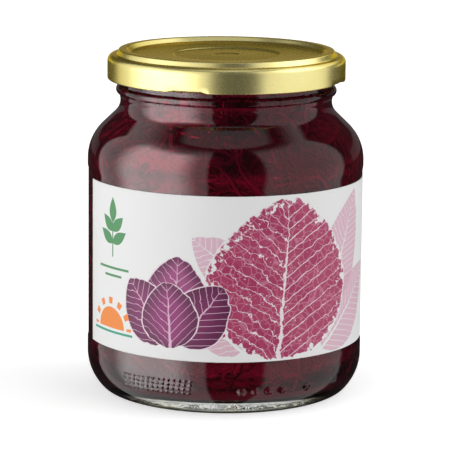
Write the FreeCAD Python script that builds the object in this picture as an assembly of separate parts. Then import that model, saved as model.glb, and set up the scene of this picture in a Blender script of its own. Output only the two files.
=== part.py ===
import FreeCAD, Part
import math
import os

# A filled food jar, standing upright on its bearing ring.
# Origin: centre of the base, in the plane the jar stands on. +Z is up, and the
# front of the label faces -Y. Bearings round the jar are measured from the
# front (-Y) towards +X. Everything is in millimetres.

# ---- driving dimensions: glass jar -----------------------------------------
body_d = 80.8            # outside diameter of the body
wall_t = 2.3             # glass thickness of body, shoulder and neck
floor_z = 4.6            # inside floor above the bearing plane, at its edge
floor_dome = 0.8         # rise of the inside floor at the centre
heel_in = 7.4            # the bearing ring's outer edge lies this far inside the body
bearing_w = 1.6          # width of the bearing ring
punt_h = 2.2             # rise of the pushed-up base inside the bearing ring
heel_low_r = 4.9         # section radius of the heel next to the bearing ring
heel_high_r = 14.45      # section radius of the heel below the body
inner_heel_r = 9.0       # section radius between inside floor and wall
band_low = 3.9           # full-width band between heel and label panel
band_high = 2.0          # full-width band between label panel and shoulder
panel_depth = 0.22       # depth of the recess
panel_ramp = 0.8         # height of the recess's sloped edges
shoulder_r = 13.58       # section radius of the shoulder
shoulder_slope = 46.0    # steepest turn of the shoulder, degrees from upright
neck_fillet = 5.1        # section radius of the hollow curve into the neck
neck_in = 0.3            # the neck's outside lies this far inside the mouth's
neck_h = 1.8             # straight neck between shoulder and transfer bead
seam_gap = 0.9           # neck-ring seam below the transfer bead
seam_h = 0.4             # height of the seam line
seam_out = 0.12          # how far the seam stands proud
bead_drop = 11.5         # centre of the transfer bead below the mouth's top
bead_r = 1.3             # section radius of the transfer bead
finish_r = 31.2          # outside radius of the mouth under the lid
rim_z = 100.4            # top of the mouth
rim_round = 1.1          # rounding of the mouth's edges

# ---- driving dimensions: thread ribs of the mouth ---------------------------
rib_count = 4            # ribs, one above each lug of the lid
rib_span = 56.0          # length of a rib, degrees
rib_out = 1.5            # how far a rib stands proud of the mouth
rib_h = 1.0              # height of a rib's outer edge
rib_flare = 0.7          # extra height of a rib at its root, above and below

# ---- driving dimensions: relief marks on the heel ---------------------------
stipple_start = -45.0    # bearing of the first stipple column
stipple_pitch = 2.35     # degrees between stipple columns
stipple_columns = 14
stipple_rows = 4
stipple_z = 6.8          # height of the lowest stipple row
stipple_row_gap = 1.25   # height between rows
stipple_skew = 0.35      # degrees that each row is shifted against the last
stipple_ball = 0.5       # radius of a stipple dot's ball
stipple_out = 0.28       # how far a dot stands proud
code_start = 7.3         # bearing of the first code dot
code_pitch = 5.8         # degrees between places in the code row
code_places = (0, 1, 2, 3, 5, 8)
code_z = 7.8             # height of the code row
code_ball = 1.3          # radius of a code dot's ball
code_out = 0.5           # how far a code dot stands proud

# ---- driving dimensions: lid -------------------------------------------------
lid_t = 0.2              # tinplate thickness
lid_h = 8.7              # height of the whole lid
lid_clear = 0.9          # gap between the mouth's ribs and the rolled edge
hem_w = 1.1              # width of the rolled edge
hem_h = 1.2              # height of the rolled edge
hem_round = 0.5          # rounding of the rolled edge
step_drop = 1.55         # outer step below the lid's top
step_round = 1.7         # rounding between skirt and step
ridge_over = 0.15        # the sealing ridge's outer edge past the mouth's outside
ridge_lap = 0.55         # the sealing ridge's inner edge past the mouth's bore
ridge_side = 0.75        # width of the ridge's outer slope
ridge_round = 0.45       # rounding of the ridge's edges
panel_drop = 1.15        # panel edge below the lid's top
panel_clear = 0.75       # gap between the panel's edge and the mouth's bore
panel_dish = 0.25        # dish of the panel from its edge to the button
button_r = 15.8          # radius of the safety button's edge
button_drop = 0.35       # depth of the step round the button
button_rise = 0.15       # crown of the button
dimple_r = 3.9           # radius of the dimple in the button's centre
dimple_drop = 0.15       # depth of the dimple
lug_count = 4
lug_first = -19.0        # bearing of the first lug
lug_half = 9.0           # half of a lug's length, degrees
lug_h = 2.1              # height of a pressed-in lug
lug_drop = 1.8           # how far the lug's tip lies below its root
lug_clear = 1.0          # gap between the lug's tip and the mouth's outside
lug_t = 0.6              # thickness of the folded lug

# ---- driving dimensions: label and contents ----------------------------------
label_low = 0.5          # panel left bare below the label
label_high = 1.8         # panel left bare above the label
label_t = 0.12           # paper and glue
label_start = -72.0      # bearing of the label's first edge
label_span = 307.0       # length of the label round the jar, degrees
fill_drop = 6.4          # level of the contents below the mouth's top

# ---- worked out from the above -------------------------------------------------
body_r = body_d / 2
bearing_r = body_r - heel_in
neck_r = finish_r - neck_in
bore_r = neck_r - wall_t
bead_z = rim_z - bead_drop
neck_base = bead_z - bead_r - neck_h
fill_z = rim_z - fill_drop
lid_top = rim_z + lid_t
skirt_bottom = lid_top - lid_h
lid_r = finish_r + rib_out + lid_clear + hem_w
AXIS = FreeCAD.Vector(0, 0, 1)
CENTRE = FreeCAD.Vector(0, 0, 0)


def at(r, z):
    """A point of a section, in the plane that is then turned about Z."""
    return FreeCAD.Vector(r, 0, z)


def line(a, b):
    """A straight edge of a section between two (r, z) places."""
    return Part.makeLine(at(*a), at(*b))


def polar(centre, radius, degrees):
    """The (r, z) place on a section circle."""
    turn = math.radians(degrees)
    return centre[0] + radius * math.cos(turn), centre[1] + radius * math.sin(turn)


def arc(centre, radius, first, last):
    """A round edge of a section, between two angles in degrees."""
    places = [polar(centre, radius, a) for a in (first, (first + last) / 2, last)]
    return Part.Arc(*[at(*place) for place in places]).toShape()


def bow(a, b, middle):
    """A shallow round edge through three (r, z) places."""
    return Part.Arc(at(*a), at(*middle), at(*b)).toShape()


def chain(places):
    """Straight edges through a list of (r, z) places."""
    return [line(a, b) for a, b in zip(places, places[1:])]


def turned(edges, first=0.0, span=360.0):
    """The solid swept by a closed section from a bearing over a span."""
    face = Part.Face(Part.Wire(Part.__sortEdges__(edges)))
    face.rotate(CENTRE, AXIS, first - 90)
    return face.revolve(CENTRE, AXIS, span)


def on_bearing(r, z, bearing):
    """A point at a radius, height and bearing from the front."""
    turn = math.radians(bearing)
    return FreeCAD.Vector(r * math.sin(turn), -r * math.cos(turn), z)


# ---- the glass jar ---------------------------------------------------------------
def heel_curve():
    """Angle where the two heel curves meet, and the upper curve's centre."""
    ratio = (body_r - heel_high_r - bearing_r) / (heel_low_r - heel_high_r)
    meet = -math.degrees(math.acos(ratio))
    centre = polar((bearing_r, heel_low_r), heel_low_r - heel_high_r, meet)
    return meet, centre


def heel_place(z):
    """Outside radius of the heel at a height, and the slant of its surface."""
    centre = heel_curve()[1]
    slant = math.asin((z - centre[1]) / heel_high_r)
    return centre[0] + heel_high_r * math.cos(slant), slant


def shoulder_turn():
    """Turn of the shoulder in degrees, less where neck and body are nearly as wide."""
    whole = math.acos(max(-1, 1 - (body_r - neck_r) / (shoulder_r + neck_fillet)))
    return min(shoulder_slope, math.degrees(whole))


def shoulder_base():
    """Height where the shoulder leaves the straight body."""
    turn = math.radians(shoulder_turn())
    curves = shoulder_r + neck_fillet
    run = (body_r - neck_r - curves * (1 - math.cos(turn))) / math.tan(turn)
    return neck_base - curves * math.sin(turn) - run


def shoulder_edges(inset):
    """Shoulder from the body up to the neck, set in from the outside."""
    turn = shoulder_turn()
    convex_centre = (body_r - shoulder_r, shoulder_base())
    convex_end = polar(convex_centre, shoulder_r - inset, turn)
    fillet_centre = (neck_r + neck_fillet, neck_base)
    fillet_r = neck_fillet + inset
    start = polar(fillet_centre, fillet_r, 180 + turn)
    return [
        arc(convex_centre, shoulder_r - inset, 0, turn),
        line(convex_end, start),
        arc(fillet_centre, fillet_r, 180 + turn, 180),
    ]


def panel_ends():
    """Bottom and top of the recessed label panel."""
    return heel_curve()[1][1] + band_low, shoulder_base() - band_high


def cavity_edges(top_z):
    """Inside of the jar from the floor's centre up its wall to a height."""
    inner_r = body_r - wall_t
    corner = (inner_r - inner_heel_r, floor_z + inner_heel_r)
    floor_mid = ((inner_r - inner_heel_r) / 2, floor_z + 0.75 * floor_dome)
    return [
        bow((0, floor_z + floor_dome), (corner[0], floor_z), floor_mid),
        arc(corner, inner_heel_r, -90, 0),
        line((inner_r, corner[1]), (inner_r, shoulder_base())),
        *shoulder_edges(wall_t),
        line((bore_r, neck_base), (bore_r, top_z)),
    ]


def outside_edges():
    """Outside of the jar from the bearing ring up to its mouth."""
    meet, upper = heel_curve()
    low = (bearing_r, heel_low_r)
    panel_r = body_r - panel_depth
    panel_z0, panel_z1 = panel_ends()
    seam_z = bead_z - bead_r - seam_gap
    return [
        arc(low, heel_low_r, -90, meet),
        arc(upper, heel_high_r, meet, 0),
        *chain([
            (body_r, upper[1]),
            (body_r, panel_z0),
            (panel_r, panel_z0 + panel_ramp),
            (panel_r, panel_z1 - panel_ramp),
            (body_r, panel_z1),
            (body_r, shoulder_base()),
        ]),
        *shoulder_edges(0),
        *chain([
            (neck_r, neck_base),
            (neck_r, seam_z - seam_h / 2),
            (neck_r + seam_out, seam_z),
            (neck_r, seam_z + seam_h / 2),
            (neck_r, bead_z - bead_r),
        ]),
        arc((neck_r, bead_z), bead_r, -90, 90),
        *chain([
            (neck_r, bead_z + bead_r),
            (finish_r, bead_z + bead_r),
            (finish_r, rim_z - rim_round),
        ]),
    ]


def rim_edges():
    """Rounded top of the mouth, from outside to inside."""
    outer = (finish_r - rim_round, rim_z - rim_round)
    inner = (bore_r + rim_round, rim_z - rim_round)
    return [
        arc(outer, rim_round, 0, 90),
        line((outer[0], rim_z), (inner[0], rim_z)),
        arc(inner, rim_round, 90, 180),
    ]


def base_edges():
    """Pushed-up underside and the bearing ring."""
    ring_in = bearing_r - bearing_w
    return [
        bow((0, punt_h), (ring_in, 0), (ring_in / 2, 0.75 * punt_h)),
        line((ring_in, 0), (bearing_r, 0)),
        line((0, punt_h), (0, floor_z + floor_dome)),
    ]


def thread_rib(bearing):
    """One rib of the mouth, which the lid's lug grips from below."""
    root = finish_r - wall_t / 4
    tip = finish_r + rib_out
    low = lug_tip_z() + lug_t + rib_flare
    section = chain([
        (root, low - rib_flare),
        (tip, low),
        (tip, low + rib_h),
        (root, low + rib_h + rib_flare),
        (root, low - rib_flare),
    ])
    return turned(section, bearing - rib_span / 2, rib_span)


def relief_dot(bearing, z, ball, out):
    """A ball sunk into the heel, square to its surface, so that its cap stands proud."""
    r, slant = heel_place(z)
    sunk = ball - out
    middle = on_bearing(r - sunk * math.cos(slant), z - sunk * math.sin(slant), bearing)
    inwards = on_bearing(-math.cos(slant), -math.sin(slant), bearing)
    return Part.makeSphere(ball, middle, inwards)


def relief_marks():
    """Stipple patch and code dots moulded on the heel."""
    dots = []
    for column in range(stipple_columns):
        for row in range(stipple_rows):
            bearing = stipple_start + column * stipple_pitch + row * stipple_skew
            z = stipple_z + row * stipple_row_gap
            dots.append(relief_dot(bearing, z, stipple_ball, stipple_out))
    for place in code_places:
        bearing = code_start + place * code_pitch
        dots.append(relief_dot(bearing, code_z, code_ball, code_out))
    return dots


def glass_jar():
    """Jar with its thread ribs and heel relief, one solid."""
    section = cavity_edges(rim_z - rim_round) + outside_edges() + rim_edges() + base_edges()
    ribs = [thread_rib(lug_bearing(i)) for i in range(rib_count)]
    return turned(section).multiFuse(ribs + relief_marks())


# ---- the contents -------------------------------------------------------------------
def cabbage():
    """Shredded cabbage and its juice, filling the jar up to its level."""
    section = cavity_edges(fill_z) + chain([
        (bore_r, fill_z),
        (0, fill_z),
        (0, floor_z + floor_dome),
    ])
    return turned(section)


# ---- the lid ----------------------------------------------------------------------------
def lug_bearing(index):
    """Bearing of a lug's middle."""
    return lug_first + index * 360.0 / lug_count


def lug_tip_z():
    """Height of the lower edge of a lug's tip."""
    return skirt_bottom + lug_h - lug_drop


def lid_places():
    """Upper surface of the lid, axis to hem, as (r, z, corner rounding)."""
    panel_z = lid_top - panel_drop
    button_z = panel_z - panel_dish - button_drop
    ridge_out = finish_r + ridge_over
    ridge_in = bore_r + ridge_lap
    step_z = lid_top - step_drop
    return [
        (0, button_z + button_rise - dimple_drop, 0),
        (dimple_r - 0.5, button_z + button_rise - dimple_drop, 0.8),
        (dimple_r, button_z + button_rise, 0.8),
        (button_r - 0.8, button_z, 1.0),
        (button_r, button_z + button_drop, 1.0),
        (bore_r - panel_clear, panel_z, 1.2),
        (ridge_in, lid_top, ridge_round),
        (ridge_out, lid_top, ridge_round),
        (ridge_out + ridge_side, step_z, ridge_round),
        (lid_r, step_z, step_round),
        (lid_r, skirt_bottom, hem_round),
        (lid_r - hem_w, skirt_bottom, hem_round),
        (lid_r - hem_w, skirt_bottom + hem_h, 0),
    ]


def unit(a, b):
    """Direction from one place to the next, as (r, z)."""
    length = math.hypot(b[0] - a[0], b[1] - a[1])
    return (b[0] - a[0]) / length, (b[1] - a[1]) / length


def inset(places, depth):
    """The same line moved to its right by a depth, corner by corner."""
    moved = []
    for i, place in enumerate(places):
        before = unit(places[i - 1], place) if i > 0 else unit(place, places[i + 1])
        after = unit(place, places[i + 1]) if i + 1 < len(places) else before
        side_r = before[1] + after[1]
        side_z = -before[0] - after[0]
        reach = 1 + before[0] * after[0] + before[1] * after[1]
        bend = before[0] * after[1] - before[1] * after[0]
        rounding = place[2]
        if rounding:
            rounding += depth if bend > 0 else -depth
        moved.append((place[0] + depth * side_r / reach, place[1] + depth * side_z / reach, rounding))
    return moved


def rounded(places):
    """Edges along the places, with each corner rounded by its own radius."""
    edges = []
    start = places[0][:2]
    for i in range(1, len(places) - 1):
        corner = places[i]
        into = unit(places[i - 1], corner)
        out = unit(corner, places[i + 1])
        turn = math.acos(max(-1, min(1, into[0] * out[0] + into[1] * out[1])))
        cut = corner[2] * math.tan(turn / 2)
        first = (corner[0] - into[0] * cut, corner[1] - into[1] * cut)
        last = (corner[0] + out[0] * cut, corner[1] + out[1] * cut)
        lift = corner[2] * (1 / math.cos(turn / 2) - 1)
        away = unit((0, 0), (out[0] - into[0], out[1] - into[1]))
        middle = (corner[0] + away[0] * lift, corner[1] + away[1] * lift)
        edges.append(line(start, first))
        edges.append(bow(first, last, middle))
        start = last
    edges.append(line(start, places[-1][:2]))
    return edges


def lid_shell():
    """Pressed tinplate cap with its rolled edge, before the lugs."""
    upper = lid_places()
    lower = inset(upper, lid_t)
    ends = [
        line(upper[0][:2], lower[0][:2]),
        line(upper[-1][:2], lower[-1][:2]),
    ]
    return turned(rounded(upper) + rounded(lower) + ends)


def lug(bearing):
    """A stretch of the rolled edge, pressed inwards and folded."""
    root_z = skirt_bottom + lug_h
    tip = (finish_r + lug_clear, lug_tip_z())
    section = chain([
        (lid_r, root_z),
        tip,
        (tip[0], tip[1] + lug_t),
        (lid_r - lid_t, root_z + lug_t),
        (lid_r, root_z + lug_t),
        (lid_r, root_z),
    ])
    return turned(section, bearing - lug_half, 2 * lug_half)


def lug_opening(bearing):
    """The rolled edge that a lug takes the place of."""
    inner = lid_r - hem_w - 2 * lid_t
    outer = lid_r + lid_t
    low = skirt_bottom - lid_t
    high = skirt_bottom + lug_h
    section = chain([(inner, low), (outer, low), (outer, high), (inner, high), (inner, low)])
    return turned(section, bearing - lug_half, 2 * lug_half)


def lid():
    """Twist-off lid, one solid with its four lugs."""
    bearings = [lug_bearing(i) for i in range(lug_count)]
    shell = lid_shell().cut([lug_opening(b) for b in bearings])
    return shell.multiFuse([lug(b) for b in bearings])


# ---- the label ---------------------------------------------------------------------------
def label():
    """Paper label in the recessed panel, open for a stretch at the back left."""
    inner = body_r - panel_depth
    outer = inner + label_t
    panel_z0, panel_z1 = panel_ends()
    low = panel_z0 + panel_ramp + label_low
    high = panel_z1 - panel_ramp - label_high
    section = chain([(inner, low), (outer, low), (outer, high), (inner, high), (inner, low)])
    return turned(section, label_start, label_span)


# ---- write one file per piece ---------------------------------------------------------------
os.makedirs("parts", exist_ok=True)
pieces = {
    "glass_jar": glass_jar(),
    "lid": lid(),
    "label": label(),
    "cabbage": cabbage(),
}
for name, shape in pieces.items():
    solid = shape.Solids[0]
    solid.exportStep("parts/" + name + ".step")
    print(name, len(shape.Solids), solid.isValid(), round(solid.Volume))
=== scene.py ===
# %% [markdown]
# # A jar of red cabbage
#
# A grocery jar is four pieces: pressed glass, a gold twist-off lid, a paper
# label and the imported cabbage. The construction model holds their sizes. This
# lesson loads it, measures it, and makes each piece again with the smooth
# surfaces that glass and lacquer need to reflect cleanly.

# %% Load the construction model
import math
import random
import bpy
import numpy as np
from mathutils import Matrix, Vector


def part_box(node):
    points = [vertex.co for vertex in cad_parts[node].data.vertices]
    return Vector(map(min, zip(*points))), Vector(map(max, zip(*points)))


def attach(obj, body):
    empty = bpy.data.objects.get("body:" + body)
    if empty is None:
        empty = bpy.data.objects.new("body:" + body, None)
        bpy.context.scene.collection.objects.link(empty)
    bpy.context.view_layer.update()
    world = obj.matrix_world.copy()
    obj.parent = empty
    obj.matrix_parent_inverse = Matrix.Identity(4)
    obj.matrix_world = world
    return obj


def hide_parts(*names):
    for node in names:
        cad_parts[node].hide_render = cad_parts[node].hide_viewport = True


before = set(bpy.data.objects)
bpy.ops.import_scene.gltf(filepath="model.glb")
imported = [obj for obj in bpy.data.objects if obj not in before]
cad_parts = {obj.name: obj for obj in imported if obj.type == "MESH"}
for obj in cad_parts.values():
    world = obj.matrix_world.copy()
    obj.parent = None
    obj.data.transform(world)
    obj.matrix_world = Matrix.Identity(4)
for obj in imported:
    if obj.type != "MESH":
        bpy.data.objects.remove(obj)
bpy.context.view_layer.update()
print("pieces of the model:", sorted(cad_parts))

# %% [markdown]
# ## Sizes
#
# The model's boxes give every size that two pieces share: the body, the mouth,
# the lid, the label and the filling. What the boxes can't say, such as the
# curve of the shoulder, is written here in millimetres times MM. The jar's
# section could be traced point by point, but it is really a few arcs, so their
# radii are enough to draw it.

# %% Sizes that the model's boxes give
MM = 0.001


def high(node, axis):
    """Largest coordinate of a model piece along axis 0, 1 or 2."""
    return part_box(node)[1][axis]


def low(node, axis):
    """Smallest coordinate of a model piece along axis 0, 1 or 2."""
    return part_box(node)[0][axis]


body_r = high("glass_jar", 0)
rim_z = high("glass_jar", 2)
lid_r = high("lid", 0)
lid_top = high("lid", 2)
skirt_bottom = low("lid", 2)
label_r = high("label", 0)
label_low = low("label", 2)
label_high = high("label", 2)
fill_r = high("cabbage", 0)
fill_z = high("cabbage", 2)
wall = body_r - fill_r
print("body %.1f mm, height %.1f mm, wall %.1f mm" % (body_r * 2000, lid_top * 1000, wall * 1000))

# %% Sizes of the glass
floor_z = low("cabbage", 2)
floor_dome = 0.8 * MM
bearing_r = body_r - 7.4 * MM
bearing_w = 1.6 * MM
punt = 2.2 * MM
heel_low = 4.9 * MM
heel_high = 14.45 * MM
inner_heel = 9.0 * MM
panel_depth = 0.22 * MM
panel_ramp = 0.8 * MM
panel_low = label_low - panel_ramp - 0.5 * MM
panel_high = label_high + panel_ramp + 1.8 * MM
shoulder = 13.58 * MM
shoulder_turn = 46.0
neck_fillet = 5.1 * MM
neck_r = 30.9 * MM
finish_r = 31.2 * MM
bore_r = neck_r - wall
bead = 1.3 * MM
bead_z = rim_z - 11.5 * MM
neck_base = bead_z - bead - 1.8 * MM
seam_z = bead_z - bead - 0.9 * MM
seam_out = 0.12 * MM
rim_round = 1.1 * MM

# %% [markdown]
# ## Camera
#
# Product cameras stand well back with a long lens, so that a jar's sides stay
# nearly parallel. This one looks down a little, which shows the lid's top as a
# thin ellipse, and it leans by half a degree as a hand-set camera does.

# %% Camera
SENSOR = 36.0
camera_distance = 800 * MM
camera_height = 10.84
camera_lean = 0.557
aim_z = 48.4 * MM
lens_mm = 217.2


def aim_camera():
    """The camera in front of the jar, looking at its axis from slightly above."""
    data = bpy.data.cameras.new("camera")
    data.lens = lens_mm
    data.sensor_width = SENSOR
    data.clip_start = 0.01
    camera = bpy.data.objects.new("camera", data)
    bpy.context.collection.objects.link(camera)
    tilt = math.radians(camera_height)
    camera.location = (0, -camera_distance * math.cos(tilt), aim_z + camera_distance * math.sin(tilt))
    camera.rotation_euler = (math.radians(90) - tilt, 0, 0)
    camera.rotation_euler.rotate_axis("Z", math.radians(camera_lean))
    bpy.context.scene.camera = camera
    return camera


camera = aim_camera()
bpy.context.scene.view_settings.view_transform = "Standard"
print("camera at", [round(v, 3) for v in camera.location])

# %% [markdown]
# ## Shader sums
#
# A material's pattern is arithmetic on coordinates. Drawing each Math node by
# hand hides the sum, so one small class wraps a socket: `a * 2 + b` then adds
# the nodes. Every other kind of node comes from its `node` method.

# %% Shader sums


class Wire:
    """One shader socket; + - * / and ** on it add Math nodes."""

    def __init__(self, socket):
        self.socket = socket

    def node(self, kind, settings=None, values=None, out=0):
        """A new node of a kind in this socket's tree, with settings, then values or links."""
        made = self.socket.id_data.nodes.new(kind)
        for name, value in (settings or {}).items():
            setattr(made, name, value)
        for name, value in (values or {}).items():
            if isinstance(value, Wire):
                made.id_data.links.new(value.socket, made.inputs[name])
            else:
                made.inputs[name].default_value = value
        return Wire(made.outputs[out])

    def maths(self, operation, *others):
        """A Math node with this socket first."""
        values = dict(enumerate((self,) + others))
        return self.node("ShaderNodeMath", {"operation": operation}, values)

    def swapped(self, operation, other):
        """A Math node with this socket second."""
        return self.node("ShaderNodeMath", {"operation": operation}, {0: other, 1: self})

    def __add__(self, other):
        return self.maths("ADD", other)

    def __sub__(self, other):
        return self.maths("SUBTRACT", other)

    def __rsub__(self, other):
        return self.swapped("SUBTRACT", other)

    def __mul__(self, other):
        return self.maths("MULTIPLY", other)

    def __truediv__(self, other):
        return self.maths("DIVIDE", other)

    def __pow__(self, other):
        return self.maths("POWER", other)

    __radd__ = __add__
    __rmul__ = __mul__

    def fade(self, start, end):
        """0 below start, 1 above end, smooth between."""
        settings = {"interpolation_type": "SMOOTHSTEP"}
        return self.node("ShaderNodeMapRange", settings, {0: self, 1: start, 2: end})

    def paint(self, under, over):
        """The colour under, with the colour over laid on by this mask."""
        return self.node("ShaderNodeMix", {"data_type": "RGBA"}, {0: self, 6: under, 7: over}, 2)

    def link(self, socket):
        """This socket feeds another."""
        self.socket.id_data.links.new(self.socket, socket)


def tone(code):
    """A written colour such as a8325a as the linear colour that shaders take."""
    parts = [int(code[i:i + 2], 16) / 255 for i in (0, 2, 4)]
    linear = [p / 12.92 if p <= 0.04045 else ((p + 0.055) / 1.055) ** 2.4 for p in parts]
    return (*linear, 1.0)


def new_material(name, **constants):
    """A material with one Principled shader, and its Object coordinates."""
    material = bpy.data.materials.new(name)
    material.use_nodes = True
    shader = material.node_tree.nodes["Principled BSDF"]
    for label, value in constants.items():
        shader.inputs[label.replace("_", " ").title().replace("Ior", "IOR")].default_value = value
    texture = material.node_tree.nodes.new("ShaderNodeTexCoord")
    return material, shader, Wire(texture.outputs["Object"])


def noise(place, scale, detail=3.0):
    """Soft noise with features of about a millimetre over scale."""
    values = {"Vector": place, "Scale": scale / MM, "Detail": detail}
    return place.node("ShaderNodeTexNoise", {}, values)


print("shader sums ready")

# %% [markdown]
# ## Turning a section
#
# Glass jars and pressed lids are round, so each is a section turned about the
# axis. A lathe modifier would do it, but the spin operator is what a modeller
# uses by hand: a plane is merged to one point, the point is extruded along the
# section, and the line is spun.

# %% Turning helpers
AXIS = (0, 0, -1)
ROUND_STEPS = 240


def deselect():
    """Nothing selected, so that the next operator acts on the new piece alone."""
    bpy.ops.object.select_all(action="DESELECT")


def select_only(piece):
    """One piece selected and active, for operators and modifiers."""
    deselect()
    piece.select_set(True)
    bpy.context.view_layer.objects.active = piece


def arc(r, z, radius, first, last, step=5.0):
    """Places along a round stretch of a section, with angles in degrees."""
    count = max(2, math.ceil(abs(last - first) / step))
    angles = [math.radians(first + (last - first) * i / count) for i in range(count + 1)]
    return [(r + radius * math.cos(a), z + radius * math.sin(a)) for a in angles]


def upright(r, low_z, high_z, step=2.0 * MM):
    """Places along a straight upright stretch."""
    count = max(1, round(abs(high_z - low_z) / step))
    return [(r, low_z + (high_z - low_z) * i / count) for i in range(count + 1)]


def draw_section(name, places):
    """A new piece that holds only the section's line, in edit mode."""
    deselect()
    bpy.ops.mesh.primitive_plane_add(size=MM, location=(0, 0, 0))
    piece = bpy.context.object
    piece.name = name
    piece.data.name = name
    bpy.ops.object.mode_set(mode="EDIT")
    bpy.ops.mesh.select_mode(type="VERT")
    bpy.ops.mesh.select_all(action="SELECT")
    bpy.ops.mesh.merge(type="CENTER")
    bpy.ops.transform.translate(value=(places[0][0], 0, places[0][1]))
    for a, b in zip(places, places[1:]):
        if math.dist(a, b) > 1e-7:
            step = (b[0] - a[0], 0, b[1] - a[1])
            bpy.ops.mesh.extrude_region_move(TRANSFORM_OT_translate={"value": step})
    return piece


def turn(name, places, first=0.0, span=360.0, steps=ROUND_STEPS):
    """The surface of a section turned from a bearing over a span."""
    piece = draw_section(name, places)
    bpy.ops.mesh.select_all(action="SELECT")
    start = math.radians(first - 90)
    bpy.ops.transform.rotate(value=-start, orient_axis="Z", center_override=(0, 0, 0))
    bpy.ops.mesh.spin(steps=steps, angle=math.radians(span), center=(0, 0, 0), axis=AXIS)
    bpy.ops.mesh.select_all(action="SELECT")
    bpy.ops.mesh.remove_doubles(threshold=0.001 * MM)
    bpy.ops.mesh.normals_make_consistent(inside=False)
    bpy.ops.object.mode_set(mode="OBJECT")
    return piece


def smooth(piece, angle=40.0):
    """Smooth shading, with edges sharper than an angle left crisp."""
    select_only(piece)
    bpy.ops.object.shade_smooth_by_angle(angle=math.radians(angle))


def points_of(piece):
    """The piece's vertices as an array."""
    flat = np.empty(len(piece.data.vertices) * 3)
    piece.data.vertices.foreach_get("co", flat)
    return flat.reshape(-1, 3)


def move_points(piece, points):
    """The piece's vertices set from an array."""
    piece.data.vertices.foreach_set("co", points.ravel())
    piece.data.update()


def triangles(piece):
    """How many triangles a piece has."""
    return sum(len(p.vertices) - 2 for p in piece.data.polygons)


print("turning helpers ready")

# %% [markdown]
# ## The glass
#
# A jar is pressed and blown in an iron mould. Its section runs from the pushed-up
# base over the bearing ring, round the heel, up a body that is very slightly
# hollow where the label sits, over the shoulder to the bead below the lid, and
# back down inside. Drawing both faces as one closed section gives real
# thickness, which is what bends light at the heel and darkens the edges.

# %% Section of the glass
def meeting_angle():
    """Angle at which the heel's lower curve hands over to its upper curve."""
    ratio = (body_r - heel_high - bearing_r) / (heel_low - heel_high)
    return -math.degrees(math.acos(ratio))


heel_meet = meeting_angle()
heel_centre = (
    bearing_r + (heel_low - heel_high) * math.cos(math.radians(heel_meet)),
    heel_low + (heel_low - heel_high) * math.sin(math.radians(heel_meet)),
)


def shoulder_base():
    """Height at which the shoulder leaves the straight body."""
    bend = math.radians(shoulder_turn)
    curves = shoulder + neck_fillet
    run = (body_r - neck_r - curves * (1 - math.cos(bend))) / math.tan(bend)
    return neck_base - curves * math.sin(bend) - run


shoulder_z = shoulder_base()


def shoulder_line(inset):
    """Places up the shoulder and into the neck, set in from the outside."""
    convex = arc(body_r - shoulder, shoulder_z, shoulder - inset, 0, shoulder_turn, 3)
    hollow = arc(neck_r + neck_fillet, neck_base, neck_fillet + inset, 180 + shoulder_turn, 180, 5)
    return convex + hollow


def outside_line():
    """Places from the base's centre over the outside to the mouth."""
    ring_in = bearing_r - bearing_w
    base = [(ring_in * i / 12, punt * (1 - (i / 12) ** 2)) for i in range(13)]
    heel = arc(bearing_r, heel_low, heel_low, -90, heel_meet, 6)
    heel += arc(*heel_centre, heel_high, heel_meet, 0, 2)[1:]
    panel_r = body_r - panel_depth
    body = upright(body_r, heel_centre[1], panel_low)[1:]
    body += upright(panel_r, panel_low + panel_ramp, panel_high - panel_ramp, 8 * MM)
    body += upright(body_r, panel_high, shoulder_z)[:-1]
    seam = [
        (neck_r, seam_z - 0.25 * MM),
        (neck_r + seam_out, seam_z - 0.08 * MM),
        (neck_r + seam_out, seam_z + 0.08 * MM),
        (neck_r, seam_z + 0.25 * MM),
    ]
    collar = arc(neck_r, bead_z, bead, -90, 90, 10)
    mouth = upright(finish_r, bead_z + bead + 0.1 * MM, rim_z - rim_round, 4 * MM)
    return base + heel + body + shoulder_line(0) + seam + collar + mouth


def floor_line():
    """Places from the inside floor's centre to the foot of the inner wall."""
    corner_r = fill_r - inner_heel
    floor = [(corner_r * i / 8, floor_z + floor_dome * (1 - (i / 8) ** 2)) for i in range(9)]
    return floor + arc(corner_r, floor_z + inner_heel, inner_heel, -90, 0, 6)[1:]


def inside_line(top):
    """Places from the inside floor's centre up the inner wall to a height."""
    return floor_line() + shoulder_line(wall) + upright(bore_r, neck_base, top, 3 * MM)[1:]


def jar_line():
    """The jar's whole closed section, outside up and inside down."""
    rim = arc(finish_r - rim_round, rim_z - rim_round, rim_round, 0, 90, 15)
    rim += arc(bore_r + rim_round, rim_z - rim_round, rim_round, 90, 180, 15)
    return outside_line() + rim + inside_line(rim_z - rim_round)[::-1][1:]


print("places in the jar's section:", len(jar_line()))

# %% [markdown]
# ## Marks on the heel
#
# Moulds leave small relief on the heel: a patch of stipple that helps the jar
# grip the conveyor, and a row of larger dots that tells the factory which mould
# made it. They could be bump in the material, but then the jar's outline and
# its reflections would stay smooth. So the faces round each mark, and no others,
# are divided finely, and their points are pushed out into low domes. Bearings
# are in degrees from the front, towards the right.

# %% Places of the heel marks
STIPPLE_COLUMNS = 14
STIPPLE_ROWS = 4
STIPPLE_FIRST = -45.0
STIPPLE_TURN = 2.35
STIPPLE_LEAN = 0.35
STIPPLE_Z = 6.8
STIPPLE_RISE = 1.25
STIPPLE_SHAPE = (0.58 * MM, 0.3 * MM)
CODE_PLACES = (0, 1, 2, 3, 5, 8)
CODE_FIRST = 7.3
CODE_TURN = 5.8
CODE_Z = 7.8
CODE_SHAPE = (1.6 * MM, 0.52 * MM)
MARK_MARGIN = 0.7 * MM
MARK_CUTS = 7
CURVE_LOW = 4.4 * MM
CURVE_REACH = 0.3 * MM


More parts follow.
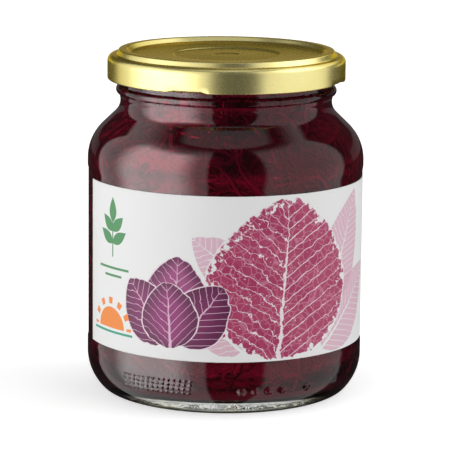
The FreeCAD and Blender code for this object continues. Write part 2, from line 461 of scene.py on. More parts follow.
def marks():
    """Every dot as (bearing, height, radius, how far it stands out)."""
    dots = []
    for column in range(STIPPLE_COLUMNS):
        for row in range(STIPPLE_ROWS):
            bearing = STIPPLE_FIRST + STIPPLE_TURN * column + STIPPLE_LEAN * row
            dots.append((bearing, (STIPPLE_Z + STIPPLE_RISE * row) * MM, *STIPPLE_SHAPE))
    for place in CODE_PLACES:
        dots.append((CODE_FIRST + CODE_TURN * place, CODE_Z * MM, *CODE_SHAPE))
    return dots


def mark_centre(bearing, z):
    """The place of one mark on the heel's curve."""
    slope = math.asin((z - heel_centre[1]) / heel_high)
    r = heel_centre[0] + heel_high * math.cos(slope)
    angle = math.radians(bearing)
    return np.array([r * math.sin(angle), -r * math.cos(angle), z])


print("marks on the heel:", len(marks()))

# %% Dividing the heel and raising the marks
def divide_heel(piece):
    """The faces round each mark cut into fine ones."""
    bpy.ops.object.mode_set(mode="EDIT")
    bpy.ops.mesh.select_mode(type="FACE")
    bpy.ops.mesh.select_all(action="DESELECT")
    bpy.ops.object.mode_set(mode="OBJECT")
    centres = np.array([mark_centre(bearing, z) for bearing, z, radius, height in marks()])
    reach = np.array([radius + MARK_MARGIN for bearing, z, radius, height in marks()])
    for face in piece.data.polygons:
        away = np.linalg.norm(centres - np.array(face.center), axis=1)
        face.select = bool((away < reach).any())
    bpy.ops.object.mode_set(mode="EDIT")
    bpy.ops.mesh.subdivide(number_cuts=MARK_CUTS)
    bpy.ops.object.mode_set(mode="OBJECT")


def round_heel(points):
    """Points on the heel's upper curve put exactly on it; says which they are, and every bearing."""
    radius = np.hypot(points[:, 0], points[:, 1])
    bearing = np.degrees(np.arctan2(points[:, 0], -points[:, 1]))
    rise = points[:, 2] - heel_centre[1]
    true_r = heel_centre[0] + np.sqrt(np.maximum(heel_high ** 2 - rise ** 2, 0))
    near = (np.abs(radius - true_r) < CURVE_REACH) & (points[:, 2] > CURVE_LOW) & (rise < 0)
    scale = np.where(near, true_r / np.maximum(radius, MM), 1.0)
    points[:, 0] *= scale
    points[:, 1] *= scale
    return near, bearing


def raise_marks(piece):
    """Low domes pushed out of the heel at each mark."""
    points = points_of(piece)
    near, bearing = round_heel(points)
    slant = np.arcsin(np.clip((points[:, 2] - heel_centre[1]) / heel_high, -1, 1))
    turn_to = np.radians(bearing)
    out = np.stack([
        np.cos(slant) * np.sin(turn_to),
        -np.cos(slant) * np.cos(turn_to),
        np.sin(slant),
    ], axis=1)
    lift = np.zeros(len(points))
    for mark_bearing, z, radius, height in marks():
        share = np.linalg.norm(points - mark_centre(mark_bearing, z), axis=1) / radius
        dome = height * np.clip(1 - share ** 2, 0, 1) ** 2
        lift = np.where(near, np.maximum(lift, dome), lift)
    move_points(piece, points + out * lift[:, None])


glass = turn("glass_shell", jar_line())
divide_heel(glass)
raise_marks(glass)
smooth(glass, 50)
print("glass triangles:", triangles(glass))

# %% [markdown]
# ### Clear glass
#
# Jar glass is clear with a breath of green, seen only where a thick stretch
# such as the base is looked through. Real glass casts light onto what it holds,
# which a renderer finds slowly, so the material lets lamp rays straight through
# and keeps bending everything the eye sees.

# %% Clear glass
def clear_glass():
    """Smooth glass that lets lamp rays pass to what it holds."""
    material, shader, place = new_material(
        "clear_glass",
        base_color=(0.93, 0.975, 0.955, 1.0),
        roughness=0.0,
        ior=1.52,
        transmission_weight=1.0,
    )
    tree = material.node_tree
    wave = noise(place, 0.045, 2.0)
    bump = wave.node("ShaderNodeBump", {}, {"Height": wave, "Strength": 0.06, "Distance": 0.4 * MM})
    bump.link(shader.inputs["Normal"])
    path = tree.nodes.new("ShaderNodeLightPath")
    clear = place.node("ShaderNodeBsdfTransparent")
    lamp = Wire(path.outputs["Is Shadow Ray"])
    mixed = lamp.node("ShaderNodeMixShader", {}, {0: lamp, 1: Wire(shader.outputs[0]), 2: clear})
    mixed.link(tree.nodes["Material Output"].inputs["Surface"])
    return material


glass.data.materials.append(clear_glass())
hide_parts("glass_jar")
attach(glass, "root")
print("the glass replaces the model's jar")

# %% [markdown]
# ## The lid
#
# A twist-off lid is stamped from lacquered tinplate: a flat skirt, a shoulder
# step, a raised ridge that holds the seal over the glass, and a slightly dished
# panel with a safety button. Its lower edge is rolled, and four lugs are pressed
# inwards from the roll. The upper face alone is turned, the lugs are pressed by
# moving points, and Solidify gives the sheet its thickness, just as the metal
# has one thickness everywhere.

# %% Lid section
sheet = 0.2 * MM
step_z = lid_top - 1.55 * MM
panel_z = lid_top - 1.15 * MM
button_z = panel_z - 0.6 * MM
button_r = 15.8 * MM
dimple_r = 3.9 * MM
ridge_out = finish_r + 0.15 * MM
ridge_in = bore_r + 0.55 * MM
hem_in = lid_r - 1.1 * MM


def softened(places):
    """The line through (r, z, rounding) places, with each corner rounded."""
    line = [places[0][:2]]
    for before, corner, after in zip(places, places[1:], places[2:]):
        into = np.array(corner[:2]) - before[:2]
        away = np.array(after[:2]) - corner[:2]
        into /= np.linalg.norm(into)
        away /= np.linalg.norm(away)
        bend = math.acos(np.clip(into @ away, -1, 1))
        cut = corner[2] * math.tan(bend / 2)
        start = np.array(corner[:2]) - into * cut
        side = (away - into) / np.linalg.norm(away - into)
        centre = np.array(corner[:2]) + side * corner[2] / math.cos(bend / 2)
        count = max(2, math.ceil(math.degrees(bend) / 9))
        first = math.atan2(*(start - centre)[::-1])
        sign = 1 if into[0] * away[1] - into[1] * away[0] > 0 else -1
        for i in range(count + 1):
            angle = first + sign * bend * i / count
            spot = centre + corner[2] * np.array([math.cos(angle), math.sin(angle)])
            line.append((float(spot[0]), float(spot[1])))
    return line + [places[-1][:2]]


def lid_line():
    """Upper face of the lid from the button's centre to the rolled edge."""
    crown_z = button_z + 0.15 * MM
    return softened([
        (0, button_z, 0),
        (dimple_r - 0.5 * MM, button_z, 0.8 * MM),
        (dimple_r, crown_z, 0.8 * MM),
        (button_r - 0.8 * MM, button_z, 1.0 * MM),
        (button_r, button_z + 0.35 * MM, 1.0 * MM),
        (bore_r - 0.75 * MM, panel_z, 1.2 * MM),
        (ridge_in, lid_top, 0.45 * MM),
        (ridge_out, lid_top, 0.45 * MM),
        (ridge_out + 0.75 * MM, step_z, 0.45 * MM),
        (lid_r, step_z, 1.7 * MM),
        (lid_r, skirt_bottom, 0.5 * MM),
        (hem_in, skirt_bottom, 0.5 * MM),
        (hem_in, skirt_bottom + 1.2 * MM, 0),
    ])


def filled_in(line, gap):
    """The same line with long straight runs divided."""
    dense = [line[0]]
    for a, b in zip(line, line[1:]):
        count = max(1, math.ceil(math.dist(a, b) / gap))
        for i in range(1, count + 1):
            dense.append((a[0] + (b[0] - a[0]) * i / count, a[1] + (b[1] - a[1]) * i / count))
    return dense


print("places in the lid's section:", len(lid_line()))

# %% Lugs
LUG_COUNT = 4
LUG_FIRST = -19.0
LUG_HALF = 9.0
lug_root = skirt_bottom + 1.5 * MM
lug_reach = 1.2 * MM
lug_lift = 0.05 * MM


def press_lugs(piece):
    """The rolled edge pressed inwards and up a little at each lug."""
    points = points_of(piece)
    radius = np.hypot(points[:, 0], points[:, 1])
    bearing = np.degrees(np.arctan2(points[:, 0], -points[:, 1]))
    depth = np.clip((lug_root - points[:, 2]) / (lug_root - skirt_bottom), 0, 1)
    depth = np.where(radius > lid_r - 0.3 * MM, depth * depth, depth)
    rim_side = radius > hem_in - 0.1 * MM
    for i in range(LUG_COUNT):
        away = np.abs((bearing - LUG_FIRST - i * 360 / LUG_COUNT + 180) % 360 - 180)
        press = np.clip((LUG_HALF + 1.2 - away) / 2.4, 0, 1)
        press = press * press * (3 - 2 * press) * depth * rim_side
        scale = 1 - lug_reach * press / np.maximum(radius, MM)
        points[:, 0] *= scale
        points[:, 1] *= scale
        points[:, 2] += lug_lift * press
    move_points(piece, points)


def thicken(piece, thickness):
    """Solidify inwards by a thickness, applied."""
    select_only(piece)
    solidify = piece.modifiers.new("sheet", "SOLIDIFY")
    solidify.thickness = thickness
    solidify.offset = -1.0
    bpy.ops.object.modifier_apply(modifier=solidify.name)


lid = turn("lid_shell", filled_in(lid_line(), 0.9 * MM), steps=288)
press_lugs(lid)
thicken(lid, sheet)
smooth(lid, 50)
print("lid triangles:", triangles(lid))

# %% [markdown]
# ### Gold lacquer
#
# The gold is a tinted varnish over tin: metal underneath, soft on top. Rolled
# plate has a very fine grain, so reflections of the lights melt at their edges.
# The grain is a fine noise that only stirs the roughness and a faint bump.

# %% Gold lacquer
def gold_lacquer():
    """Satin gold metal with a fine grain."""
    material, shader, place = new_material(
        "gold_lacquer", metallic=1.0, ior=1.5, specular_tint=(0.6, 0.44, 0.05, 1.0),
    )
    grain = noise(place, 0.9, 2.0)
    cloud = noise(place, 0.06, 3.0)
    tint = cloud.fade(0.35, 0.7).paint(tone("e4d996"), tone("dccf8a"))
    tint.link(shader.inputs["Base Color"])
    (grain * 0.05 + 0.25).link(shader.inputs["Roughness"])
    bump = grain.node("ShaderNodeBump", {}, {"Height": grain, "Strength": 0.05, "Distance": 0.01 * MM})
    bump.link(shader.inputs["Normal"])
    return material


lid.data.materials.append(gold_lacquer())
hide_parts("lid")
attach(lid, "root")
print("the lid replaces the model's lid")

# %% [markdown]
# ## Packed cabbage
#
# Behind the glass lies a mass of fine shreds in dark juice. The space between
# filling and glass must not show as air, so the filling is a core that reaches
# just into the wall, with real shreds pressed over it. The core is the inside of
# the jar turned once more, pushed out by a hair.

# %% Core of the filling
def pushed_out(line, gap):
    """The line moved to its outer side by a gap, kept on the axis where it starts there."""
    places = np.array(line)
    along = np.gradient(places, axis=0)
    along /= np.linalg.norm(along, axis=1)[:, None]
    places[:, 0] += along[:, 1] * gap * (places[:, 0] > 0)
    places[:, 1] -= along[:, 0] * gap
    return [tuple(place) for place in places.tolist()]


CORE_OUT = 0.05 * MM
core_line = pushed_out(inside_line(fill_z), CORE_OUT) + [(0.0, fill_z)]
core = turn("cabbage_core", core_line, steps=180)
smooth(core, 45)
print("core triangles:", triangles(core))

# %% [markdown]
# ### Shreds
#
# Cabbage is cut across its layers, so each shred is a thin ribbon, a millimetre
# or two wide, wavy and of every length. One ribbon is modelled from a cube
# stretched and divided along its length, and then copied; each copy is bent
# along its own path on the inside of the glass. Hair particles would be quicker,
# but ribbons of real width catch the light on their flat sides.

# %% One shred
SHRED_RINGS = 10


def model_shred():
    """A ribbon one unit long, wide and thick, pinched at its ends."""
    deselect()
    bpy.ops.mesh.primitive_cube_add(size=1.0, location=(0.5, 0, 0))
    ribbon = bpy.context.object
    ribbon.name = "shred"
    bpy.ops.object.transform_apply(location=True, rotation=False, scale=False)
    bpy.ops.object.mode_set(mode="EDIT")
    for i in range(1, SHRED_RINGS):
        bpy.ops.mesh.select_all(action="SELECT")
        bpy.ops.mesh.bisect(plane_co=(i / SHRED_RINGS, 0, 0), plane_no=(1, 0, 0))
    bpy.ops.mesh.select_all(action="SELECT")
    bpy.ops.mesh.normals_make_consistent(inside=False)
    bpy.ops.object.mode_set(mode="OBJECT")
    places = points_of(ribbon)
    pinch = 0.35 + 0.65 * np.sin(np.pi * np.clip(places[:, 0], 0.03, 0.97)) ** 0.5
    places[:, 1] *= pinch
    places[:, 2] *= pinch
    top = places[:, 2] > 0
    places[:, 1] *= np.where(top, 0.72, 1.0)
    move_points(ribbon, places)
    return ribbon


ribbon = model_shred()
print("triangles in one shred:", triangles(ribbon))

# %% Where shreds lie
PATH_STEPS = 40
wall_line = np.array(pushed_out(filled_in(inside_line(fill_z - 1.5 * MM), 0.6 * MM), 0.0))
wall_run = np.concatenate([[0], np.cumsum(np.linalg.norm(np.diff(wall_line, axis=0), axis=1))])
wall_along = np.gradient(wall_line, axis=0)
wall_along /= np.linalg.norm(wall_along, axis=1)[:, None]
heel_foot = (wall_line[:, 0] > fill_r - inner_heel) & (wall_line[:, 1] > floor_z + 2.2 * MM)
floor_run = float(wall_run[np.argmax(heel_foot)])
top_run = float(wall_run[-1])


def on_wall(turn_to, run, depth):
    """Points on the inside of the glass, a depth into its wall."""
    r = np.interp(run, wall_run, wall_line[:, 0])
    z = np.interp(run, wall_run, wall_line[:, 1])
    out_r = np.interp(run, wall_run, wall_along[:, 1])
    out_z = -np.interp(run, wall_run, wall_along[:, 0])
    r = r + out_r * depth
    return np.stack([r * np.sin(turn_to), -r * np.cos(turn_to), z + out_z * depth], axis=-1)


def lay_shred(places, rng):
    """The ribbon's points bent along a wandering path on the glass."""
    length = rng.uniform(5, 24) * MM
    width = rng.triangular(0.6, 2.6, 1.1) * MM
    thick = rng.uniform(0.3, 0.5) * MM
    depth = rng.uniform(-0.05, 0.25) * MM
    heading = rng.choice((0.0, 0.6, 2.5, 1.57)) + rng.gauss(0, 0.5)
    bend = rng.gauss(0, 1.1)
    wave = rng.uniform(0.1, 0.7)
    phase = rng.uniform(0, 6.28)
    start_run = rng.uniform(floor_run, top_run)
    start_turn = rng.uniform(-math.pi, math.pi)
    steps = np.linspace(0, 1, PATH_STEPS + 1)
    way = heading + bend * steps + wave * np.sin(phase + 9 * steps)
    across = np.concatenate([[0], np.cumsum(np.cos(way[:-1]))]) * length / PATH_STEPS
    up = np.concatenate([[0], np.cumsum(np.sin(way[:-1]))]) * length / PATH_STEPS
    t = places[:, 0]
    direction = np.interp(t, steps, way)
    side = places[:, 1] * width
    x = np.interp(t, steps, across) - np.sin(direction) * side
    y = np.interp(t, steps, up) + np.cos(direction) * side
    run = np.clip(start_run + y, floor_run, top_run)
    local_r = np.maximum(np.interp(run, wall_run, wall_line[:, 0]), 8 * MM)
    return on_wall(start_turn + x / local_r, run, depth + places[:, 2] * thick)


print("runs from %.0f to %.0f mm along the wall" % (floor_run * 1000, top_run * 1000))

# %% Copies of the shred
SHRED_COUNT = 1900
SHRED_SEED = 41


def pack_shreds():
    """Every shred as its own mesh, then joined to one piece with a tone on each."""
    rng = random.Random(SHRED_SEED)
    places = points_of(ribbon)
    copies = []
    for i in range(SHRED_COUNT):
        mesh = ribbon.data.copy()
        mesh.vertices.foreach_set("co", lay_shred(places, rng).ravel())
        shade = mesh.attributes.new("shade", "FLOAT", "POINT")
        shade.data.foreach_set("value", [rng.random()] * len(mesh.vertices))
        copy = bpy.data.objects.new("shred_%d" % i, mesh)
        bpy.context.collection.objects.link(copy)
        copies.append(copy)
    bpy.data.objects.remove(ribbon)
    deselect()
    for copy in copies:
        copy.select_set(True)
    bpy.context.view_layer.objects.active = copies[0]
    bpy.ops.object.join()
    heap = bpy.context.object
    heap.name = "cabbage_shreds"
    heap.data.name = "cabbage_shreds"
    return heap


shreds = pack_shreds()
smooth(shreds, 60)
print("shreds:", SHRED_COUNT, "triangles:", triangles(shreds))

# %% [markdown]
# ### Colour of cabbage and juice
#
# Red cabbage in its juice goes from near black where juice is deep to magenta
# where a rib lies against the glass. Each shred carries one number, its shade,
# and a fine streaky noise, so no two neighbours match. The core has the same
# hues, darker, in clouds. Light that comes back through juice is red, so the wet
# gloss is a thin share of a red glossy shader and not the white one of plain water.

# %% Shreds' colour
GLOSS_SHARE = 0.058


def wet(shader, place, bump):
    """The shader with a thin share of red-tinted gloss, as light that comes back through juice."""
    shader.inputs["Specular IOR Level"].default_value = 0.05
    settings = {"Color": (1.0, 0.01, 0.08, 1), "Roughness": 0.14, "Normal": bump}
    gloss = place.node("ShaderNodeBsdfGlossy", {}, settings)
    return place.node("ShaderNodeMixShader", {}, {0: GLOSS_SHARE, 1: Wire(shader.outputs[0]), 2: gloss})


def shred_finish():
    """Wet cabbage whose tone comes from each shred's own shade."""
    material, shader, place = new_material("red_cabbage", roughness=0.6, ior=1.36)
    shade = place.node("ShaderNodeAttribute", {"attribute_name": "shade"}, {}, "Fac")
    fibre = noise(place, 1.1, 3.0)
    cloud = noise(place, 0.09, 3.0)
    hue = (shade * 7.31).maths("FRACT")
    deep = hue.fade(0.2, 0.8).paint(tone("1c0004"), tone("180006"))
    middle = hue.fade(0.2, 0.8).paint(tone("42010a"), tone("3e0116"))
    colour = shade.fade(0.3, 0.75).paint(deep, middle)
    colour = (shade.fade(0.75, 0.95) * 0.7).paint(colour, tone("620420"))
    colour = (shade.fade(0.985, 0.99) * 0.4).paint(colour, tone("7c2038"))
    colour = (fibre.fade(0.5, 0.75) * 0.4).paint(colour, tone("560318"))
    colour = (cloud.fade(0.42, 0.6) * 0.7).paint(colour, tone("200004"))
    colour.link(shader.inputs["Base Color"])
    bump = fibre.node("ShaderNodeBump", {}, {"Height": fibre, "Strength": 0.5, "Distance": 0.12 * MM})
    bump.link(shader.inputs["Normal"])
    output = material.node_tree.nodes["Material Output"]
    wet(shader, place, bump).link(output.inputs["Surface"])
    return material


print("shred finish ready")

# %% [markdown]
# ### The clear foot
#
# From the side, a full jar stands on a band of bright clear glass: seen through
# the heel at a low slant, the filling's underside acts as a mirror and shows the
# table. A core that reaches into the glass leaves no gap to reflect at, so its
# underside is given that mirror, wavy and a little green and yellow, only where
# it is met at a low slant.

# %% Core's colour and the clear foot
MIRROR_LOW = floor_z / MM + 0.5
MIRROR_HIGH = floor_z / MM + 1.2


def mirror_share(place):
    """1 where the filling's underside is met at a low slant, 0 elsewhere."""
    slant = place.node("ShaderNodeLayerWeight", {}, {"Blend": 0.5}, "Facing").fade(0.6, 0.7)
    split = place.node("ShaderNodeSeparateXYZ", {}, {0: place})
    height = Wire(split.socket.node.outputs[2]) / MM
    return slant * (1.0 - height.fade(MIRROR_LOW, MIRROR_HIGH))


def floor_mirror(place):
    """A wavy mirror in the greens and yellows of a thick jar base."""
    mirror = place.node("ShaderNodeBsdfPrincipled", {}, {"Metallic": 1.0, "Roughness": 0.05})
    streak = noise(place, 0.22, 4.0)
    wave = place.node("ShaderNodeBump", {}, {"Height": streak, "Strength": 0.7, "Distance": 0.5 * MM})
    colour = streak.fade(0.4, 0.62).paint(tone("39432f"), tone("cbc68c"))
    colour = (noise(place, 0.5, 2.0).fade(0.58, 0.66) * 0.7).paint(colour, tone("5f7396"))
    colour.link(mirror.socket.node.inputs["Base Color"])
    wave.link(mirror.socket.node.inputs["Normal"])
    return mirror


def core_finish():
    """Dark juice with paler cabbage showing through it in clouds."""
    material, shader, place = new_material("cabbage_in_juice", roughness=0.6, ior=1.36)
    cloud = noise(place, 0.16, 4.0)
    fibre = noise(place, 0.9, 3.0)
    colour = cloud.fade(0.4, 0.7).paint(tone("120002"), tone("220007"))
    colour = (fibre.fade(0.52, 0.7) * 0.5).paint(colour, tone("3a010e"))
    colour.link(shader.inputs["Base Color"])
    bump = fibre.node("ShaderNodeBump", {}, {"Height": fibre, "Strength": 0.4, "Distance": 0.15 * MM})
    bump.link(shader.inputs["Normal"])
    body = wet(shader, place, bump)
    under = mirror_share(place)
    both = place.node("ShaderNodeMixShader", {}, {0: under, 1: body, 2: floor_mirror(place)})
    both.link(material.node_tree.nodes["Material Output"].inputs["Surface"])
    return material


core.data.materials.append(core_finish())
shreds.data.materials.clear()
shreds.data.materials.append(shred_finish())
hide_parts("cabbage")
for piece in (core, shreds):
    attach(piece, "root")
print("core and shreds replace the model's filling")

# %% [markdown]
# ## The label
#
# The label is a strip of coated paper wrapped round the straight part of the
# body, with a gap left at the back. A curved wall of real thickness gives it the
# fine shadow line at its ends. It is turned like the glass, over part of the
# circle, and its print follows its own length and height in millimetres.

# %% Label piece
LABEL_FIRST = -72.0
LABEL_SPAN = 307.0
PAPER = 0.14 * MM


def face_outwards(piece):
    """An open strip's faces turned to point away from the axis."""
    first = piece.data.polygons[0]
    if first.normal.x * first.center.x + first.normal.y * first.center.y < 0:
        select_only(piece)
        bpy.ops.object.mode_set(mode="EDIT")
        bpy.ops.mesh.select_all(action="SELECT")
        bpy.ops.mesh.flip_normals()
        bpy.ops.object.mode_set(mode="OBJECT")


label = turn("label_paper", upright(label_r, label_low, label_high, 6 * MM), LABEL_FIRST, LABEL_SPAN)
face_outwards(label)
thicken(label, PAPER)
smooth(label, 40)
print("label triangles:", triangles(label))

# %% [markdown]
# ### Print in plain shapes
#
# The label is printed with cabbage leaves cut like lino blocks: flat crimson
# with white ribs left out of the ink. A leaf is a sum: how far along it a point
# is, how far across, and a width that swells and closes. Side ribs are a
# repeated slanting line. The same sum with other sizes gives the pale leaves
# behind, the little cabbage head and the green sprig.

# %% Leaf sums
def label_place(place):
    """Millimetres round the label from the front's middle, and up from its foot."""
    split = place.node("ShaderNodeSeparateXYZ", {}, {0: place})
    x, y, z = (Wire(split.socket.node.outputs[i]) for i in range(3))
    turned = x.maths("ARCTAN2", y * -1.0)
    turned = turned + turned.maths("LESS_THAN", -1.7) * (2 * math.pi)
    return turned * (label_r / MM), z * (1 / MM) - label_low / MM


def leaf(u, v, foot, lean, length, width, edge=None, round_off=1.0):
    """How far along a leaf a point is, how far across, and how far inside."""
    cos, sin = math.cos(math.radians(lean)), math.sin(math.radians(lean))
    du, dv = u - foot[0], v - foot[1]
    along = du * (sin / length) + dv * (cos / length)
    across = du * cos - dv * sin
    if edge is not None:
        along = along + edge * (1.6 / length)
        across = across + edge * 1.2
    kept = along.maths("MAXIMUM", 0.0).maths("MINIMUM", 1.0)
    swell = (kept ** 0.8 * math.pi).maths("SINE").maths("MAXIMUM", 0.0) ** round_off
    inside = swell * width - across.maths("ABSOLUTE")
    return along, across, inside


def ribs(along, across, length, gap, slant, thin):
    """White lines: a middle rib that tapers, and curved side ribs that thin out."""
    out = across.maths("ABSOLUTE")
    middle = (along * -1.0 + 1.05) * thin * 3.0 - out
    line = (along * length - out * slant + out * out * (0.012 * slant)).maths("PINGPONG", gap)
    line = line + (1.0 - out * (0.9 / length)) * thin
    return middle.fade(-0.05, 0.1).maths("MAXIMUM", line.fade(gap, gap + thin * 0.4))


def band(value, low_end, high_end, soft):
    """1 between two values, fading to 0 outside over a soft margin."""
    return value.fade(low_end - soft, low_end) * (1.0 - value.fade(high_end, high_end + soft))


def box(u, v, left, right, low_v, high_v):
    """1 inside an upright rectangle of the label."""
    across = u.maths("GREATER_THAN", left) * u.maths("LESS_THAN", right)
    return across * v.maths("GREATER_THAN", low_v) * v.maths("LESS_THAN", high_v)


print("leaf sums ready")

# %% [markdown]
# ### The front of the label
#
# On the right one large round leaf, printed rather dry so that its edge breaks
# up, with two pale leaves behind. In the middle a small head of four leaves, one
# over the other, and on the left a green sprig, two rules and a low sun.

# %% Front of the print
LEAF_PAPER = "ead9e2"


def pale_leaves(colour, u, v, edge):
    """Thin pink leaves behind the large one."""
    for foot, lean, length, width in (
        ((31, 2), 50, 33, 9),
        ((33, 14), 24, 35, 9),
        ((5, 3), -48, 19, 6),
        ((8, 22), -52, 22, 7),
    ):
        along, across, inside = leaf(u, v, foot, lean, length, width, edge, 0.8)
        lines = ribs(along, across, length, 1.0, 0.8, 0.14)
        shape = inside.fade(0.0, 0.2) * (1.0 - lines)
        colour = (shape * 0.8).paint(colour, tone("d7a6bb"))
    return colour


def large_leaf(colour, u, v, edge, place):
    """The round crimson leaf with its ribs and its fine net of veins."""
    along, across, inside = leaf(u, v, (16, 0.5), 4, 46.5, 23.5, edge * 2.4, 0.62)
    lines = ribs(along, across, 46, 1.75, 0.8, 0.2)
    cells = place.node(
        "ShaderNodeTexVoronoi",
        {"feature": "DISTANCE_TO_EDGE"},
        {"Vector": place, "Scale": 0.42 / MM},
    )
    net = 1.0 - cells.fade(0.02, 0.07)
    brush = noise(place, 0.55, 5.0)
    dry = (inside * 0.045 + brush).fade(0.5, 0.56)
    speck = noise(place, 1.5, 2.0).fade(0.68, 0.72)
    colour = inside.fade(-0.2, 0.0).paint(colour, tone("e9e6e8"))
    shape = inside.fade(0.2, 0.5) * dry * (1.0 - speck)
    tint = noise(place, 0.12, 2.0).fade(0.4, 0.6).paint(tone("a3295a"), tone("ab3a63"))
    colour = shape.paint(colour, tint)
    colour = (shape * net * 0.45).paint(colour, tone("d994b0"))
    return (shape * lines).paint(colour, tone("ecdfe5"))


def little_head(colour, u, v, edge):
    """A head of cabbage drawn as four round leaves, the front one last."""
    for foot, lean, length, width, body in (
        ((-15, 6), 4, 24, 10.5, "9c4a7d"),
        ((-17, 5), -36, 21, 8.5, "7f2c62"),
        ((-13, 5), 38, 21, 8.5, "742457"),
        ((-15.5, 3.5), -4, 19, 9.0, "8d3570"),
    ):
        along, across, inside = leaf(u, v, foot, lean, length, width, edge, 0.6)
        lines = ribs(along, across, length, 1.25, 1.0, 0.16)
        colour = inside.fade(0.0, 0.15).paint(colour, tone(LEAF_PAPER))
        shape = inside.fade(0.4, 0.55)
        body_tone = (inside * 0.14).fade(0.0, 1.0).paint(tone("5c1745"), tone(body))
        colour = shape.paint(colour, body_tone)
        colour = (shape * lines * 0.9).paint(colour, tone("e2bcd2"))
    return colour


def left_side(colour, u, v):
    """The green sprig, two short rules and the low sun."""
    green = tone("4f8f5c")
    for foot, lean, length in (
        ((-37, 31), -58, 7),
        ((-37, 31), 58, 7),
        ((-37, 34.5), -46, 6.5),
        ((-37, 34.5), 46, 6.5),
        ((-37, 37), 0, 7.5),
    ):
        inside = leaf(u, v, foot, lean, length, 1.7)[2]
        colour = inside.fade(0.0, 0.12).paint(colour, green)
    colour = box(u, v, -37.3, -36.8, 27, 38).paint(colour, green)
    colour = box(u, v, -44, -30, 23.4, 24.1).paint(colour, green)
    colour = box(u, v, -41, -33, 21.2, 21.9).paint(colour, green)
    across, up = u + 38.0, v - 6.0
    reach = (across * across + up * up).maths("SQRT")
    ray = (across.maths("ARCTAN2", up) * 12.0).maths("COSINE")
    rays = band(reach, 7.2, 9.0, 0.1) * ray.fade(0.2, 0.3)
    sun = (1.0 - reach.fade(6.1, 6.25)).maths("MAXIMUM", rays) * up.fade(0.0, 0.1)
    colour = sun.paint(colour, tone("f08c40"))
    return box(u, v, -47.5, -28.5, 4.6, 5.3).paint(colour, tone("3f9f86"))


def back_side(colour, u, v, place):
    """The back: a crimson panel, short plain rules and a row of small leaves."""
    colour = box(u, v, 88, 112, -1, 60).paint(colour, tone("a3295a"))
    row = noise(place, 0.05, 1.0).fade(0.35, 0.65) * 9.0 + 140.0
    rule = v.maths("PINGPONG", 1.3).maths("GREATER_THAN", 0.95)
    rules = rule * (row - u).maths("GREATER_THAN", 0.0) * box(u, v, 118, 152, 14, 40)
    colour = rules.paint(colour, tone("6f7a70"))
    wrapped = u.node("ShaderNodeMath", {"operation": "WRAP"}, {0: u, 1: 3.5, 2: -3.5})
    along, across, inside = leaf(wrapped, v, (0, 3.5), 0, 8, 2.6, None, 0.8)
    shape = inside.fade(0.0, 0.15) * (1.0 - ribs(along, across, 8, 0.8, 0.8, 0.14))
    colour = (shape * box(u, v, 115, 157, 0, 20)).paint(colour, tone("7f2c62"))
    white = inside.fade(0.0, 0.15) * box(u, v, 89, 111.5, 0, 20)
    return white.paint(colour, tone("ecdfe5"))


print("print shapes ready")

# %% Label paper
def printed_paper():
    """Coated paper with its print."""
    material, shader, place = new_material("printed_paper", ior=1.45)
    u, v = label_place(place)
    edge = noise(place, 0.35, 4.0) - 0.5
    colour = pale_leaves(tone("eaebea"), u, v, edge)
    colour = large_leaf(colour, u, v, edge, place)
    colour = little_head(colour, u, v, edge)
    colour = left_side(colour, u, v)
    colour = back_side(colour, u, v, place)
    colour.link(shader.inputs["Base Color"])
    grain = noise(place, 2.2, 2.0)
    (grain * 0.12 + 0.38).link(shader.inputs["Roughness"])
    bump = grain.node("ShaderNodeBump", {}, {"Height": grain, "Strength": 0.08, "Distance": 0.05 * MM})
    bump.link(shader.inputs["Normal"])
    return material


label.data.materials.append(printed_paper())
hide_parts("label")
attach(label, "root")
print("the label replaces the model's label")

# %% [markdown]
# ## Light and floor
#
# Glass shows what stands round it, so the light is the picture. Two tall soft
# boxes left and right leave a dark stripe down the middle, a softer one hangs
# overhead, and the backdrop behind is white to the eye, straight or through
# glass. They are drawn as patches of the world by direction: area lamps would do
# the same, but their edges can't fade as gently. A clear glass wall returns only
# a twentieth of what it meets, so the box that it mirrors is brighter for sharp
# reflections than for paper and lacquer, which would burn out.

# %% World light
SOFT_BOXES = {
    "left": ((-128, -17, 4), (-84, 44, 22)),
    "hot": ((-86, -42, 22), (-76, 2, 16)),
    "warm": ((-84, -50, 20), (0, 30, 16)),
    "glare": ((-84, -46, 24), (-34, 38, 14)),
    "right": ((37, 112, 6), (-70, 50, 14)),
    "fill": ((70, 160, 12), (24, 60, 6)),
}
BACKDROP = (-137, 128, 3)


def soft_box(name, side, rise):
    """1 inside a soft box, from its bearings and heights in degrees, fading at its edges."""
    bearings, heights = SOFT_BOXES[name]
    return band(side, *bearings) * band(rise, *heights)


def bounced(*depths):
    """1 once a ray has met a surface in one of these ways."""
    return sum(depths[1:], depths[0]).fade(0.2, 0.8)


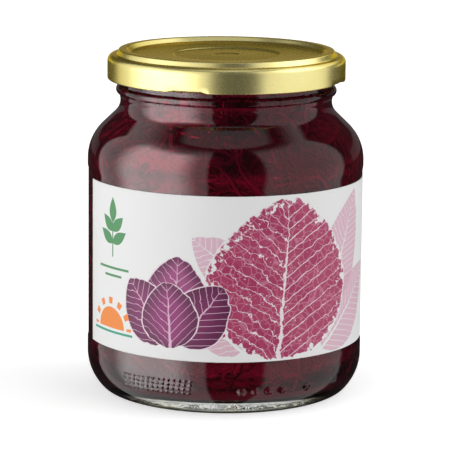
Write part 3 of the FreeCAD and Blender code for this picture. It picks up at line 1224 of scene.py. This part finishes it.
def light_world():
    """Soft boxes by direction, and white where the eye looks straight past."""
    world = bpy.data.worlds.new("studio")
    bpy.context.scene.world = world
    world.use_nodes = True
    tree = world.node_tree
    tree.nodes.clear()
    texture = tree.nodes.new("ShaderNodeTexCoord")
    aim = Wire(texture.outputs["Generated"])
    split = aim.node("ShaderNodeSeparateXYZ", {}, {0: aim})
    x, y, z = (Wire(split.socket.node.outputs[i]) for i in range(3))
    side = x.maths("ARCTAN2", y * -1.0) * math.degrees(1)
    rise = z.maths("ARCSINE") * math.degrees(1)
    left, hot, warm, glare, right, fill = (soft_box(name, side, rise) for name in SOFT_BOXES)
    above = rise.fade(65, 70)
    backdrop = 1.0 - band(side, *BACKDROP)
    behind = backdrop * band(rise, -2, 8.0, 1.5)
    path = tree.nodes.new("ShaderNodeLightPath")
    sharp = Wire(path.outputs["Is Singular Ray"])
    soft = 1.0 - sharp
    level = left + (hot * 1.3 + warm * 0.9) * soft + glare * sharp * 3.8
    level = level + right * (sharp * -0.35 + 1.1) + fill * soft * 1.2
    level = level + above * 0.5 + behind * (soft * 0.8 + 0.1) + soft * 0.1 + 0.02
    boxes = aim.node("ShaderNodeBackground", {}, {"Color": (1, 1, 1, 1), "Strength": level})
    white = aim.node("ShaderNodeBackground", {}, {"Color": (1, 1, 1, 1), "Strength": 1.0})
    returned = bounced(Wire(path.outputs["Diffuse Depth"]), Wire(path.outputs["Glossy Depth"]))
    straight = Wire(path.outputs["Is Transmission Ray"]) * (1.0 - returned * (1.0 - backdrop))
    seen = Wire(path.outputs["Is Camera Ray"]).maths("MAXIMUM", straight)
    mixed = aim.node("ShaderNodeMixShader", {}, {0: seen, 1: boxes, 2: white})
    output = tree.nodes.new("ShaderNodeOutputWorld")
    mixed.link(output.inputs["Surface"])
    return world


light_world()
print("world lit")

# %% [markdown]
# ### Floor
#
# The jar stands on pale paper. A camera's white paper is lit from all round, so
# its own glow is added for the eye only, and the soft shadow stays.

# %% Floor
FLOOR_SIDE = 8.0
FLOOR_GLOW = 0.5
GLOW_THROUGH_GLASS = 1.2


def lay_floor():
    """A wide pale floor just under the jar."""
    deselect()
    bpy.ops.mesh.primitive_plane_add(size=FLOOR_SIDE, location=(0, 0, 0))
    floor = bpy.context.object
    floor.name = "floor"
    material, shader, place = new_material("floor_paper", roughness=0.9)
    shader.inputs["Base Color"].default_value = (0.8, 0.8, 0.8, 1)
    tree = material.node_tree
    path = tree.nodes.new("ShaderNodeLightPath")
    straight = 1.0 - bounced(Wire(path.outputs["Diffuse Depth"]))
    through = Wire(path.outputs["Is Transmission Ray"]) * straight
    strength = (Wire(path.outputs["Is Camera Ray"]) + through * GLOW_THROUGH_GLASS) * FLOOR_GLOW
    glow = place.node("ShaderNodeEmission", {}, {"Color": (1, 1, 1, 1), "Strength": strength})
    both = place.node("ShaderNodeAddShader", {}, {0: Wire(shader.outputs[0]), 1: glow})
    both.link(tree.nodes["Material Output"].inputs["Surface"])
    floor.data.materials.append(material)
    floor.visible_glossy = False
    return floor


floor = lay_floor()
print("floor laid")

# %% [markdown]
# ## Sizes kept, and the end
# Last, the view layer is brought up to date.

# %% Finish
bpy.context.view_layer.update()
